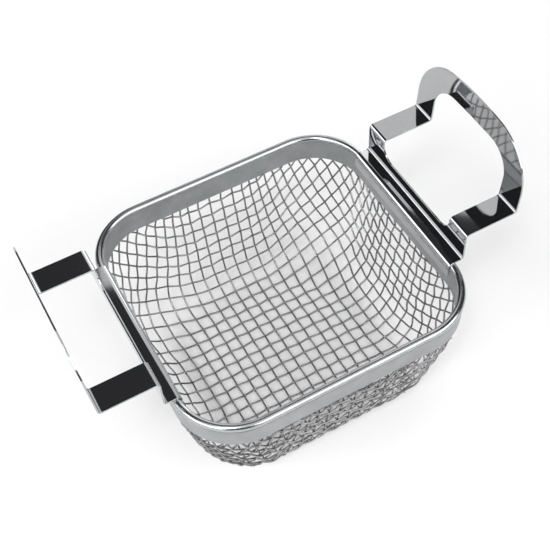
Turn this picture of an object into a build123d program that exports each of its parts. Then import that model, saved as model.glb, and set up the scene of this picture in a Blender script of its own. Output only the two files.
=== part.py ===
# Wire mesh basket of an ultrasonic cleaner: a drawn cloth of crossing wires, clamped at its
# edge between two rim bands, and a bent sheet handle hooked over each end of the rim.
# Millimetres, +Z up. X runs from handle to handle, and the origin is under the middle of the
# floor, on the plane that the floor wires stand on.
import os
from math import atan, atan2, ceil, cos, hypot, pi, radians, sin, tan

from build123d import *

# Rim, measured over the rolled bead
RIM_LENGTH = 141.0
RIM_WIDTH = 133.6
RIM_CORNER = 29.4
RIM_HEIGHT = 71.0          # middle of the bead
BEAD_RADIUS = 1.9
BEAD_ROLL = 290            # degrees that the bead is rolled round
BAND_DEPTH = 12.0          # from the middle of the bead to the lower edge of both bands
BAND_THICKNESS = 0.6
BAND_STEP = 2.1            # from the middle of the bead down to the outer band's upper edge

# Wire cloth
WIRE = 0.9
PITCH = 6.35               # four wires to the inch
GAP = 0.05                 # clearance between touching pieces
STRAIGHT_TOP = PITCH       # the cloth is upright from this far below the bands
DRAFT = 0.2                # how far a wall leans in for each unit down
FLOOR_FILLET = 21.0
CORNER_PULL = 0.12         # extra climb of the sheared cloth on the corner's diagonal
WIRE_END = 2.6             # from the middle of the bead down to the ends of the wires
LEAST_TURN = 0.8           # degrees; a wire runs straight through a crossing that turns it less

# Handles, one bent strip of sheet each; heights are above the middle of the bead
SHEET = 0.8
HANDLE_HALF = 39.5
HOOK_DEPTH = 5.5           # how far the flange hangs inside the band
HOOK_GAP = 0.15            # it bears on the band only at its ends, where the corners begin
WALL_X = 73.6              # middle of the upright wall
ARM_RISE = 18.3
ARM_INSIDE = 26.9          # from the middle plane to the inner edge of an arm
GRIP_X = 99.8              # middle of the grip plate at the height of the arms
GRIP_LEAN = 3.7            # degrees that the grip leans outwards
GRIP_TOP = 55.2
GRIP_CROWN = 148.0         # radius of the grip's upper edge
GRIP_CORNER = 25.5
BEND = 1.6                 # middle radius of the sheet's bends
EDGE_ROUND = 0.15          # rounding of the sheet's cut edges
CUT_LOW = 9.0              # lower edge of the cut-out, in the wall
CUT_TOP = 42.8             # upper edge of the cut-out, in the grip
CUT_CROWN = 400.0
CUT_CORNER_LOW = 7.0
CUT_CORNER_TOP = 13.5

# Worked out from the sizes above
LAYER = (WIRE + GAP) / 2                       # each layer of wires from the cloth's middle
CLOTH_HALF = WIRE + GAP / 2
INNER_INSET = 2 * BEAD_RADIUS                  # inner face of the inner band
CLOTH_INSET = INNER_INSET - BAND_THICKNESS - GAP - CLOTH_HALF
OUTER_INSET = CLOTH_INSET - CLOTH_HALF - GAP   # inner face of the outer band
HALF_X = RIM_LENGTH / 2 - CLOTH_INSET
HALF_Y = RIM_WIDTH / 2 - CLOTH_INSET
CORNER = RIM_CORNER - CLOTH_INSET              # corner radius of the cloth at every height
FLOOR_Z = CLOTH_HALF
LEAN = atan(DRAFT)
BAND_LOW = RIM_HEIGHT - BAND_DEPTH
WIRE_TOP = RIM_HEIGHT - WIRE_END
WALL_FOOT = FLOOR_Z + FLOOR_FILLET * (1 - sin(LEAN))
WALL_HEAD = BAND_LOW - STRAIGHT_TOP
WALL_LENGTH = (WALL_HEAD - WALL_FOOT) / cos(LEAN)
FILLET_LENGTH = FLOOR_FILLET * (pi / 2 - LEAN)
FLOOR_INSET = DRAFT * (WALL_HEAD - WALL_FOOT) + FLOOR_FILLET * cos(LEAN)
CENTRE_X = HALF_X - FLOOR_INSET - CORNER
CENTRE_Y = HALF_Y - FLOOR_INSET - CORNER


def profile(climb):
    """Inset from the top outline and height, at a length of cloth beyond the floor's edge."""
    if climb < FILLET_LENGTH:
        turn = climb / FLOOR_FILLET
        return FLOOR_INSET - FLOOR_FILLET * sin(turn), FLOOR_Z + FLOOR_FILLET * (1 - cos(turn))
    if climb < FILLET_LENGTH + WALL_LENGTH:
        height = WALL_FOOT + (climb - FILLET_LENGTH) * cos(LEAN)
        return DRAFT * (WALL_HEAD - height), height
    return 0.0, WALL_HEAD + climb - FILLET_LENGTH - WALL_LENGTH


def cloth_point(across, along):
    """Where a point of the flat cloth lies once drawn; both lengths are from its middle."""
    out_x = max(abs(across) - CENTRE_X, 0.0)
    out_y = max(abs(along) - CENTRE_Y, 0.0)
    climb = hypot(out_x, out_y) - CORNER
    if climb <= 0:
        return Vector(across, along, FLOOR_Z)
    # In a corner the sheared cloth climbs further, and its turn is spread along the outline
    turn = atan2(out_y, out_x)
    drawn = min(1.0, climb / (FILLET_LENGTH + WALL_LENGTH))
    inset, height = profile(climb * (1 + CORNER_PULL * drawn * sin(2 * turn) ** 2))
    flat = FLOOR_INSET - inset
    run = turn / (pi / 2) * (2 * flat + CORNER * pi / 2)
    angle = min(max((run - flat) / CORNER, 0.0), pi / 2)
    x = flat + CORNER * cos(angle) - max(0.0, run - flat - CORNER * pi / 2)
    y = flat + CORNER * sin(angle) - max(0.0, flat - run)
    x += min(abs(across), CENTRE_X)
    y += min(abs(along), CENTRE_Y)
    return Vector(x if across > 0 else -x, y if along > 0 else -y, height)


def layer_point(across, along, offset):
    """The same place, moved off the middle of the cloth towards the inside of the basket."""
    step = 0.01
    side = cloth_point(across + step, along) - cloth_point(across - step, along)
    back = cloth_point(across, along + step) - cloth_point(across, along - step)
    return cloth_point(across, along) + side.cross(back).normalized() * offset


def wire_end(place):
    """How far from its middle a wire reaches the height at which the cloth is trimmed."""
    low, high = 0.0, 2 * RIM_LENGTH
    while high - low > 0.001:
        middle = (low + high) / 2
        if place(middle).Z < WIRE_TOP:
            low = middle
        else:
            high = middle
    return low


def make_wire(place, first_crossing):
    """One wire of the cloth: straight between the crossings, trimmed at both ends."""
    end = wire_end(place)
    crossings = ceil((end - first_crossing) / PITCH)
    half = [first_crossing + PITCH * step for step in range(crossings)] + [end]
    stations = [-s for s in reversed(half)] + [s for s in half if s > 0]
    points = [place(s) for s in stations]
    kept = [points[0]]
    for point, after in zip(points[1:], points[2:]):
        if (point - kept[-1]).get_angle(after - point) > LEAST_TURN:
            kept.append(point)
    kept.append(points[-1])
    path = Polyline(*kept)
    section = Plane(origin=path @ 0, z_dir=path % 0) * Circle(WIRE / 2)
    return sweep(section, path=path, transition=Transition.RIGHT)


def wire_pair(place, offset_from_middle, first_crossing):
    """The two identical wires on either side of the middle of the cloth, or the one on it."""
    sides = [1, -1] if offset_from_middle else [1]
    wires = []
    for side in sides:
        wires.append(make_wire(lambda s: place(s, side * offset_from_middle), first_crossing))
    return wires


def lengthwise_place(along_wire, beside):
    """Lengthwise wires run in X and lie on the inside of the cloth."""
    return layer_point(along_wire, beside, LAYER)


def crosswise_place(along_wire, beside):
    """Crosswise wires run in Y and lie on the outside of the cloth."""
    return layer_point(beside, along_wire, -LAYER)


def cloth_wires(place, first, first_crossing):
    """Every pair of one direction whose middle shows below the bands, from the middle out."""
    pairs = []
    offset = first
    while place(0.0, offset).Z < BAND_LOW:
        pairs.append(wire_pair(place, offset, first_crossing))
        offset += PITCH
    return pairs


def rim_path(inset, height):
    """Rounded outline of the rim, a given inset from the outside of its bead."""
    plane = Plane((0, 0, height))
    outline = RectangleRounded(RIM_LENGTH - 2 * inset, RIM_WIDTH - 2 * inset, RIM_CORNER - inset)
    return (plane * outline).wire()


def sweep_round_rim(section, inset, height):
    """Sweep a section, drawn outwards and up, round the rim."""
    path = rim_path(inset, height)
    start = path @ 0
    outwards = Vector(1, 0, 0) if abs(start.X) > abs(start.Y) else Vector(0, 1, 0)
    if outwards.dot(start) < 0:
        outwards = -outwards
    ahead = path % 0
    plane = Plane(origin=start, x_dir=outwards, z_dir=ahead)
    if plane.y_dir.Z < 0:
        plane = Plane(origin=start, x_dir=outwards, z_dir=-ahead)
    return sweep(plane * section, path=path)


def make_inner_band():
    """Inner band, whose top is rolled outwards into the bead."""
    inside = BEAD_RADIUS - BAND_THICKNESS
    face_arc = CenterArc((0, 0), BEAD_RADIUS, 180, -BEAD_ROLL)
    back_arc = CenterArc((0, 0), inside, 180, -BEAD_ROLL)
    edge = Polyline((-BEAD_RADIUS, 0), (-BEAD_RADIUS, -BAND_DEPTH), (-inside, -BAND_DEPTH), (-inside, 0))
    section = make_face(edge + face_arc + back_arc + Line(face_arc @ 1, back_arc @ 1))
    return sweep_round_rim(section, BEAD_RADIUS, RIM_HEIGHT)


def make_outer_band():
    """Plain outer band, which clamps the wires against the inner one."""
    height = BAND_DEPTH - BAND_STEP
    section = Rectangle(BAND_THICKNESS, height)
    inset = OUTER_INSET - BAND_THICKNESS / 2
    return sweep_round_rim(section, inset, BAND_LOW + height / 2)


def crowned(half, low, top, crown, top_corner, low_corner):
    """Outline, in Y and Z, with a gently arched top and rounded corners."""
    shoulder = top - crown + (crown ** 2 - half ** 2) ** 0.5
    arch = ThreePointArc((-half, shoulder), (0, top), (half, shoulder))
    sides = Polyline((half, shoulder), (half, low), (-half, low), (-half, shoulder))
    shape = make_face(arch + sides)
    corners = shape.vertices().sort_by(Axis.Y)
    shape = fillet(corners[2:], top_corner)
    if low_corner:
        corners = shape.vertices().sort_by(Axis.Y)
        shape = fillet(corners[:2], low_corner)
    return shape


def make_handle():
    """Right handle: a strip bent in the XZ plane, with its grip rounded and its middle cut out."""
    bead_top = BEAD_RADIUS + GAP + SHEET / 2
    hook_x = RIM_LENGTH / 2 - INNER_INSET - HOOK_GAP - SHEET / 2
    hook_bend = bead_top
    sheet_top = GRIP_TOP + SHEET
    lean = (sheet_top - ARM_RISE) * tan(radians(GRIP_LEAN))
    bends = [
        (hook_x, 0, -HOOK_DEPTH),
        (hook_x, 0, bead_top),
        (WALL_X, 0, bead_top),
        (WALL_X, 0, ARM_RISE),
        (GRIP_X, 0, ARM_RISE),
        (GRIP_X + lean, 0, sheet_top),
    ]
    path = FilletPolyline(*bends, radius=[hook_bend, BEND, BEND, BEND])
    section = Plane(origin=path @ 0, x_dir=(0, 1, 0), z_dir=path % 0)
    strip = sweep(section * Rectangle(2 * HANDLE_HALF + 2, SHEET), path=path)
    side_view = Plane(origin=(0, 0, 0), x_dir=(0, 1, 0), z_dir=(1, 0, 0))
    outline = crowned(HANDLE_HALF, -RIM_HEIGHT, GRIP_TOP, GRIP_CROWN, GRIP_CORNER, 0)
    blank = extrude(side_view * outline, 2 * GRIP_X)
    hole = crowned(ARM_INSIDE, CUT_LOW, CUT_TOP, CUT_CROWN, CUT_CORNER_TOP, CUT_CORNER_LOW)
    hole = extrude(side_view * hole, 2 * GRIP_X)
    handle = (strip & blank) - hole
    return Pos(0, 0, RIM_HEIGHT) * fillet(handle.edges(), EDGE_ROUND)


def save(name, pieces):
    """Write one node, as a single solid or as a group of separate ones."""
    solids = [solid for piece in pieces for solid in piece.solids()]
    shape = solids[0] if len(solids) == 1 else Compound(children=solids)
    shape.label = name
    export_step(shape, os.path.join("parts", name + ".step"))


os.makedirs("parts", exist_ok=True)
save("rim_inner_band", [make_inner_band()])
save("rim_outer_band", [make_outer_band()])
right_handle = make_handle()
save("right_handle", [right_handle])
save("left_handle", [mirror(right_handle, about=Plane.YZ)])
for number, pair in enumerate(cloth_wires(lengthwise_place, 0.0, PITCH / 2)):
    save(f"lengthwise_wires_{number:02d}", pair)
for number, pair in enumerate(cloth_wires(crosswise_place, PITCH / 2, 0.0)):
    save(f"crosswise_wires_{number:02d}", pair)
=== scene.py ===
"""Wire mesh basket of an ultrasonic cleaner, in metres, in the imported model's frame."""

import math

import bpy
import numpy as np
from mathutils import Matrix, Vector


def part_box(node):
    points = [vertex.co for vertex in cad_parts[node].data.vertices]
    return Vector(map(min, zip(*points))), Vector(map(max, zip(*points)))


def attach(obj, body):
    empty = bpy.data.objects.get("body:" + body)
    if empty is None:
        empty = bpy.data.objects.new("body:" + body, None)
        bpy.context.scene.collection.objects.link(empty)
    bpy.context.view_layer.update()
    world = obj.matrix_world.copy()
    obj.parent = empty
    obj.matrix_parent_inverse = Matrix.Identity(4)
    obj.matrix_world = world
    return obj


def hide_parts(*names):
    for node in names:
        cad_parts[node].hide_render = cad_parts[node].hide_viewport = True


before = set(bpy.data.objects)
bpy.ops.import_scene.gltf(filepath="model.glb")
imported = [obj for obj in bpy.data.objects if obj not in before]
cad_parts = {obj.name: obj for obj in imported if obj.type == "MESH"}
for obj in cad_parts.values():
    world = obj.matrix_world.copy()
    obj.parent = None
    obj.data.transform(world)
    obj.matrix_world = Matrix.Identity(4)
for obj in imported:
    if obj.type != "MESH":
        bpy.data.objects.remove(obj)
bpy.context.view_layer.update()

MM = 0.001

# Wire cloth and rim, the same driving sizes as the CAD model's
WIRE = 0.9 * MM
PITCH = 6.35 * MM
GAP = 0.05 * MM
DRAFT = 0.2
FLOOR_FILLET = 21.0 * MM
CORNER_PULL = 0.12
BEAD_RADIUS = 1.9 * MM
BAND_THICKNESS = 0.6 * MM
RIM_CORNER = 29.4 * MM
WIRE_END = 2.6 * MM

# How finely the woven wires are drawn
STEPS_PER_PITCH = 8
WIRE_SIDES = 10
CRIMP_SHARPNESS = 0.07     # share of the third harmonic, which bends the wires at the crossings
CROSSWISE_CRIMP = 0.7      # the crosswise wires are pulled straighter than the others
UNEVENNESS = 0.16 * MM
RIPPLE_SHARE = 0.6         # how strong the short waves of the cloth are beside the long ones
NORMAL_STEP = 0.05 * MM

# Metal surfaces: large faint blotches and a fine grain
BLOTCH_DETAIL = 4.0
GRAIN_DETAIL = 8.0
BLOTCH_SHARE = 0.6
NOISE_LOW = 0.35           # nearly all of the mixed noise lies between these two
NOISE_HIGH = 0.65
RELIEF = 0.1 * MM
POLISH_BLEND = 1.2 * MM    # the burnished finish fades out over this height, under the bead's middle

BASKET_MIDDLE = Vector((0, 0, 0.07))

FLOOR_HALF = 3.0
FLOOR_DROP = 0.2 * MM
FLOOR_WHITE = 0.9
STUDIO_DARK = (0.05, 0.05, 0.052, 1)
LIGHT_DISTANCE = 2.4

# Camera: turned about the vertical, raised, and rolled a little
CAMERA_TURN = math.radians(25.37)
CAMERA_RAISE = math.radians(53.43)
CAMERA_ROLL = math.radians(-4.19)
CAMERA_DISTANCE = 0.4586
CAMERA_AIM = Vector((-0.0022, -0.0029, 0.071))
LENS = 66.94

rim_low, rim_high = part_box("rim_inner_band")
RIM_HEIGHT = rim_high.z - BEAD_RADIUS
BAND_LOW = rim_low.z
LAYER = (WIRE + GAP) / 2
CLOTH_HALF = WIRE + GAP / 2
CLOTH_INSET = 2 * BEAD_RADIUS - BAND_THICKNESS - GAP - CLOTH_HALF
HALF_X = rim_high.x - CLOTH_INSET
HALF_Y = rim_high.y - CLOTH_INSET
CORNER = RIM_CORNER - CLOTH_INSET
LEAN = math.atan(DRAFT)
WALL_HEAD = BAND_LOW - PITCH
WALL_FOOT = CLOTH_HALF + FLOOR_FILLET * (1 - math.sin(LEAN))
WALL_LENGTH = (WALL_HEAD - WALL_FOOT) / math.cos(LEAN)
FILLET_LENGTH = FLOOR_FILLET * (math.pi / 2 - LEAN)
FLOOR_INSET = DRAFT * (WALL_HEAD - WALL_FOOT) + FLOOR_FILLET * math.cos(LEAN)
CENTRE = np.array([HALF_X, HALF_Y]) - FLOOR_INSET - CORNER
WIRE_TOP = RIM_HEIGHT - WIRE_END


def profile(climb):
    """Inset from the top outline and height, at lengths of cloth beyond the floor's edge."""
    turn = np.clip(climb, 0, FILLET_LENGTH) / FLOOR_FILLET
    slope = np.clip(climb - FILLET_LENGTH, 0, WALL_LENGTH)
    rise = np.maximum(climb - FILLET_LENGTH - WALL_LENGTH, 0)
    inset = FLOOR_INSET - FLOOR_FILLET * np.sin(turn) - slope * math.sin(LEAN)
    height = CLOTH_HALF + FLOOR_FILLET * (1 - np.cos(turn)) + slope * math.cos(LEAN) + rise
    return inset, height


def cloth_points(across, along):
    """Where points of the flat cloth lie once it is drawn into the basket's shape."""
    out_x = np.maximum(np.abs(across) - CENTRE[0], 0.0)
    out_y = np.maximum(np.abs(along) - CENTRE[1], 0.0)
    climb = np.maximum(np.hypot(out_x, out_y) - CORNER, 0.0)
    turn = np.arctan2(out_y, out_x)
    drawn = np.minimum(1.0, climb / (FILLET_LENGTH + WALL_LENGTH))
    inset, height = profile(climb * (1 + CORNER_PULL * drawn * np.sin(2 * turn) ** 2))
    flat = FLOOR_INSET - inset
    run = turn / (math.pi / 2) * (2 * flat + CORNER * math.pi / 2)
    angle = np.clip((run - flat) / CORNER, 0.0, math.pi / 2)
    x = flat + CORNER * np.cos(angle) - np.maximum(0.0, run - flat - CORNER * math.pi / 2)
    y = flat + CORNER * np.sin(angle) - np.maximum(0.0, flat - run)
    x += np.minimum(np.abs(across), CENTRE[0])
    y += np.minimum(np.abs(along), CENTRE[1])
    x = np.where(climb > 0, x, np.abs(across)) * np.sign(across)
    y = np.where(climb > 0, y, np.abs(along)) * np.sign(along)
    return np.stack([x, y, height], axis=-1)


def uneven(across, along):
    """The small shifts of real wire cloth: a few slow waves, whose lengths are in millimetres."""
    a, b = across / MM, along / MM
    wave_across = np.sin(b / 23 + 1.3) * np.sin(a / 31 + 0.4) + RIPPLE_SHARE * np.sin(b / 11 + a / 14)
    wave_along = np.sin(a / 19 + 2.1) * np.sin(b / 27 + 0.9) + RIPPLE_SHARE * np.sin(a / 12 - b / 15 + 0.7)
    return across + UNEVENNESS * wave_across, along + UNEVENNESS * wave_along


def surface(across, along):
    """Points of the real, slightly uneven cloth, and their normals towards the inside."""
    def place(a, b):
        return cloth_points(*uneven(a, b))

    side = place(across + NORMAL_STEP, along) - place(across - NORMAL_STEP, along)
    back = place(across, along + NORMAL_STEP) - place(across, along - NORMAL_STEP)
    normal = np.cross(side, back)
    normal /= np.linalg.norm(normal, axis=1)[:, None]
    return place(across, along), normal


def tube(points, radius, sides):
    """Vertices and faces of a closed round tube along a line of points."""
    ahead = np.gradient(points, axis=0)
    ahead /= np.linalg.norm(ahead, axis=1)[:, None]
    askew = [0.3, 0.5, 0.8]
    up = np.cross(ahead[0], askew)
    up /= np.linalg.norm(up)
    angles = np.arange(sides) * 2 * math.pi / sides
    rings = []
    for point, direction in zip(points, ahead):
        up = up - direction * up.dot(direction)
        up /= np.linalg.norm(up)
        beside = np.cross(direction, up)
        rings.append(point + radius * (np.outer(np.cos(angles), up) + np.outer(np.sin(angles), beside)))
    faces = []
    for ring in range(len(points) - 1):
        for side in range(sides):
            near = ring * sides + side
            next_side = ring * sides + (side + 1) % sides
            faces.append((near, next_side, next_side + sides, near + sides))
    last = (len(points) - 1) * sides
    faces.append(tuple(range(sides - 1, -1, -1)))
    faces.append(tuple(range(last, last + sides)))
    return np.concatenate(rings), faces


def woven_wire(lengthwise, number, offset, first_crossing):
    """One crimped wire, which passes over and under the wires that cross it."""
    beyond_the_rim = 2.5 * HALF_X
    count = int(beyond_the_rim / PITCH * STEPS_PER_PITCH)
    stations = np.arange(-count, count + 1) * PITCH / STEPS_PER_PITCH
    beside = np.full_like(stations, offset)
    points, normals = surface(stations, beside) if lengthwise else surface(beside, stations)
    phase = math.pi * (stations - first_crossing) / PITCH
    wave = (np.cos(phase) + CRIMP_SHARPNESS * np.cos(3 * phase)) / (1 + CRIMP_SHARPNESS)
    depth = LAYER if lengthwise else -LAYER * CROSSWISE_CRIMP
    points = points + normals * (depth * (-1) ** number * wave)[:, None]
    inside = points[:, 2] < WIRE_TOP
    middle = len(stations) // 2
    first = middle - np.argmin(inside[middle::-1]) + 1
    last = middle + np.argmin(inside[middle:])
    return tube(points[first:last], WIRE / 2, WIRE_SIDES)


def make_piece(name, parts, material):
    """One mesh object from several sets of vertices and faces."""
    vertices, faces, start = [], [], 0
    for part_vertices, part_faces in parts:
        vertices.append(part_vertices)
        faces += [tuple(v + start for v in face) for face in part_faces]
        start += len(part_vertices)
    mesh = bpy.data.meshes.new(name)
    mesh.from_pydata(np.concatenate(vertices).tolist(), [], faces)
    mesh.materials.append(material)
    mesh.polygons.foreach_set("use_smooth", [len(f) == 4 for f in faces])
    mesh.update()
    piece = bpy.data.objects.new(name, mesh)
    bpy.context.scene.collection.objects.link(piece)
    return piece


def weave_cloth(material):
    """All wires, each pair of them replacing its CAD node."""
    for direction, first in (("lengthwise", 0.0), ("crosswise", PITCH / 2)):
        nodes = sorted(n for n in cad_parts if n.startswith(direction))
        for number, node in enumerate(nodes):
            offset = first + number * PITCH
            lengthwise = direction == "lengthwise"
            crossing = PITCH / 2 - first
            # A crosswise wire's number counts from half a pitch beside the middle
            places = {offset: number}
            if offset:
                places[-offset] = -number if lengthwise else -number - 1
            parts = [woven_wire(lengthwise, n, o, crossing) for o, n in places.items()]
            piece = make_piece("woven_" + node, parts, material)
            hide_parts(node)
            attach(piece, "root")


def link_noise(tree, place, scale, detail):
    """Noise between 0 and 1; the scale is in waves to the metre."""
    noise = tree.nodes.new("ShaderNodeTexNoise")
    noise.inputs["Scale"].default_value = scale
    noise.inputs["Detail"].default_value = detail
    tree.links.new(place, noise.inputs["Vector"])
    return noise.outputs["Fac"]


def link_range(tree, value, low, high, start=0.0, end=1.0):
    """Turn a value between start and end into one between low and high."""
    node = tree.nodes.new("ShaderNodeMapRange")
    node.inputs["From Min"].default_value = start
    node.inputs["From Max"].default_value = end
    node.inputs["To Min"].default_value = low
    node.inputs["To Max"].default_value = high
    tree.links.new(value, node.inputs["Value"])
    return node.outputs["Result"]


def link_maths(tree, operation, first, second):
    """Add or multiply two values, each of them a number or another node's output."""
    node = tree.nodes.new("ShaderNodeMath")
    node.operation = operation
    for value, socket in ((first, node.inputs[0]), (second, node.inputs[1])):
        if isinstance(value, float):
            socket.default_value = value
        else:
            tree.links.new(value, socket)
    return node.outputs["Value"]


def metal(name, colour, roughness, blotch, grain, wear, bump, polish=1.0, painted_light_factor=1.0):
    """Bare metal: large faint blotches, fine grain, and roughness and relief that follow them.

    Above the middle of the rim's bead the roughness and the relief are multiplied by polish,
    and below it the colour is multiplied by the painted-light factor, a painted brightening
    that stands in for the light the satin face scatters there.
    """
    material = bpy.data.materials.new(name)
    material.use_nodes = True
    tree = material.node_tree
    shader = tree.nodes["Principled BSDF"]
    shader.inputs["Metallic"].default_value = 1.0
    place = tree.nodes.new("ShaderNodeTexCoord").outputs["Object"]
    blotches = link_noise(tree, place, blotch, BLOTCH_DETAIL)
    grains = link_noise(tree, place, grain, GRAIN_DETAIL)
    both = link_maths(tree, "ADD", link_maths(tree, "MULTIPLY", blotches, BLOTCH_SHARE),
                      link_maths(tree, "MULTIPLY", grains, 1 - BLOTCH_SHARE))

    split = tree.nodes.new("ShaderNodeSeparateXYZ")
    tree.links.new(place, split.inputs["Vector"])
    height = split.outputs["Z"]
    finish = link_range(tree, height, 1.0, polish, RIM_HEIGHT - POLISH_BLEND, RIM_HEIGHT)
    # Painted light: below the bead's middle the colour is brightened by the painted-light factor, standing
    # in for light the satin face scatters
    painted_light = link_range(tree, height, painted_light_factor, 1.0, RIM_HEIGHT - POLISH_BLEND, RIM_HEIGHT)

    shade = link_range(tree, both, 1 - wear, 1 + wear, NOISE_LOW, NOISE_HIGH)
    tint = tree.nodes.new("ShaderNodeVectorMath")
    tint.operation = "SCALE"
    tint.inputs[0].default_value = colour
    tree.links.new(link_maths(tree, "MULTIPLY", shade, painted_light), tint.inputs["Scale"])
    tree.links.new(tint.outputs["Vector"], shader.inputs["Base Color"])

    rough = link_range(tree, both, roughness * (1 + wear), roughness * (1 - wear), NOISE_LOW, NOISE_HIGH)
    tree.links.new(link_maths(tree, "MULTIPLY", rough, finish), shader.inputs["Roughness"])

    relief = tree.nodes.new("ShaderNodeBump")
    relief.inputs["Distance"].default_value = RELIEF
    tree.links.new(link_maths(tree, "MULTIPLY", finish, bump), relief.inputs["Strength"])
    tree.links.new(grains, relief.inputs["Height"])
    tree.links.new(relief.outputs["Normal"], shader.inputs["Normal"])
    return material


def paint_node(node, material):
    """Give a piece that keeps its CAD shape its final material."""
    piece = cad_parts[node]
    for slot in piece.material_slots:
        slot.material = material


def make_floor():
    """A plain pale sheet under the basket."""
    material = bpy.data.materials.new("floor_white")
    material.use_nodes = True
    shader = material.node_tree.nodes["Principled BSDF"]
    shader.inputs["Base Color"].default_value = (FLOOR_WHITE, FLOOR_WHITE, FLOOR_WHITE, 1)
    shader.inputs["Roughness"].default_value = 0.9
    shader.inputs["Specular IOR Level"].default_value = 0.0
    outline = np.array([[-1, -1, 0], [1, -1, 0], [1, 1, 0], [-1, 1, 0]]) * FLOOR_HALF
    floor = make_piece("floor", [(outline + [0, 0, -FLOOR_DROP], [(0, 1, 2, 3)])], material)


def softbox(name, azimuth, elevation, width, height, radiance, distance=LIGHT_DISTANCE):
    """A soft light facing the basket; all its angles are in degrees, as seen from the basket.

    Azimuth turns from +Y towards +X.
    """
    turn, tilt = math.radians(azimuth), math.radians(elevation)
    away = Vector((math.sin(turn) * math.cos(tilt), math.cos(turn) * math.cos(tilt), math.sin(tilt)))
    light = bpy.data.lights.new(name, "AREA")
    light.shape = "RECTANGLE"
    light.size = 2 * distance * math.tan(math.radians(width / 2))
    light.size_y = 2 * distance * math.tan(math.radians(height / 2))
    light.energy = math.pi * light.size * light.size_y * radiance
    lamp = bpy.data.objects.new(name, light)
    lamp.location = BASKET_MIDDLE + away * distance
    lamp.rotation_euler = away.to_track_quat("Z", "Y").to_euler()
    bpy.context.scene.collection.objects.link(lamp)


def light_scene():
    """Softboxes above and at both sides, and dim cards behind, which the polished sheet shows."""
    world = bpy.data.worlds.new("studio")
    world.use_nodes = True
    world.node_tree.nodes["Background"].inputs["Color"].default_value = STUDIO_DARK
    bpy.context.scene.world = world
    softbox("overhead", azimuth=190, elevation=70, width=50, height=56, radiance=0.95)
    softbox("key", azimuth=222, elevation=60, width=11, height=11, radiance=15.0)
    softbox("rear_card", azimuth=21.5, elevation=26, width=20, height=54, radiance=0.9)
    softbox("right_rear_card", azimuth=46, elevation=25, width=29, height=48.6, radiance=0.9)
    # A narrow strip in front of the card, which draws the thin bright lines along the bends
    softbox("right_rear_strip", azimuth=47, elevation=16, width=7, height=22, radiance=3.0,
            distance=LIGHT_DISTANCE - 0.1)
    softbox("left_card", azimuth=-61, elevation=24, width=34, height=30, radiance=2.8)
    softbox("left_tent", azimuth=-108, elevation=31, width=54, height=44, radiance=2.9)
    softbox("right_tent", azimuth=148, elevation=30, width=58, height=44, radiance=2.8)


def place_camera():
    """The view from the front left, high above the rim."""
    data = bpy.data.cameras.new("camera")
    data.lens = LENS
    data.clip_start = 0.01
    camera = bpy.data.objects.new("camera", data)
    bpy.context.scene.collection.objects.link(camera)
    away = Vector((
        -math.sin(CAMERA_TURN) * math.cos(CAMERA_RAISE),
        -math.cos(CAMERA_TURN) * math.cos(CAMERA_RAISE),
        math.sin(CAMERA_RAISE),
    ))
    upright = away.to_track_quat("Z", "Y").to_matrix()
    camera.matrix_world = Matrix.Translation(CAMERA_AIM + away * CAMERA_DISTANCE) @ (
        upright @ Matrix.Rotation(CAMERA_ROLL, 3, "Z")).to_4x4()
    bpy.context.scene.camera = camera


place_camera()
wire_metal = metal("bright_wire", (0.265, 0.265, 0.27), roughness=0.12,
                   blotch=90, grain=900, wear=0.16, bump=0.1)
inner_metal = metal("satin_inner_strip", (0.445, 0.46, 0.47), roughness=0.44,
                    blotch=110, grain=1500, wear=0.13, bump=0.4, polish=0.42)
outer_metal = metal("satin_outer_strip", (0.37, 0.38, 0.385), roughness=0.42,
                    blotch=90, grain=1500, wear=0.1, bump=0.3)
# The handles' satin flange below the bead gets painted light: its colour is brightened 1.4 times
sheet_metal = metal("polished_sheet", (0.445, 0.455, 0.465), roughness=0.40,
                    blotch=40, grain=500, wear=0.04, bump=0.11, polish=0.11, painted_light_factor=1.4)
weave_cloth(wire_metal)
paint_node("rim_inner_band", inner_metal)
paint_node("rim_outer_band", outer_metal)
paint_node("left_handle", sheet_metal)
paint_node("right_handle", sheet_metal)
make_floor()
light_scene()
bpy.context.scene.view_settings.view_transform = "Standard"
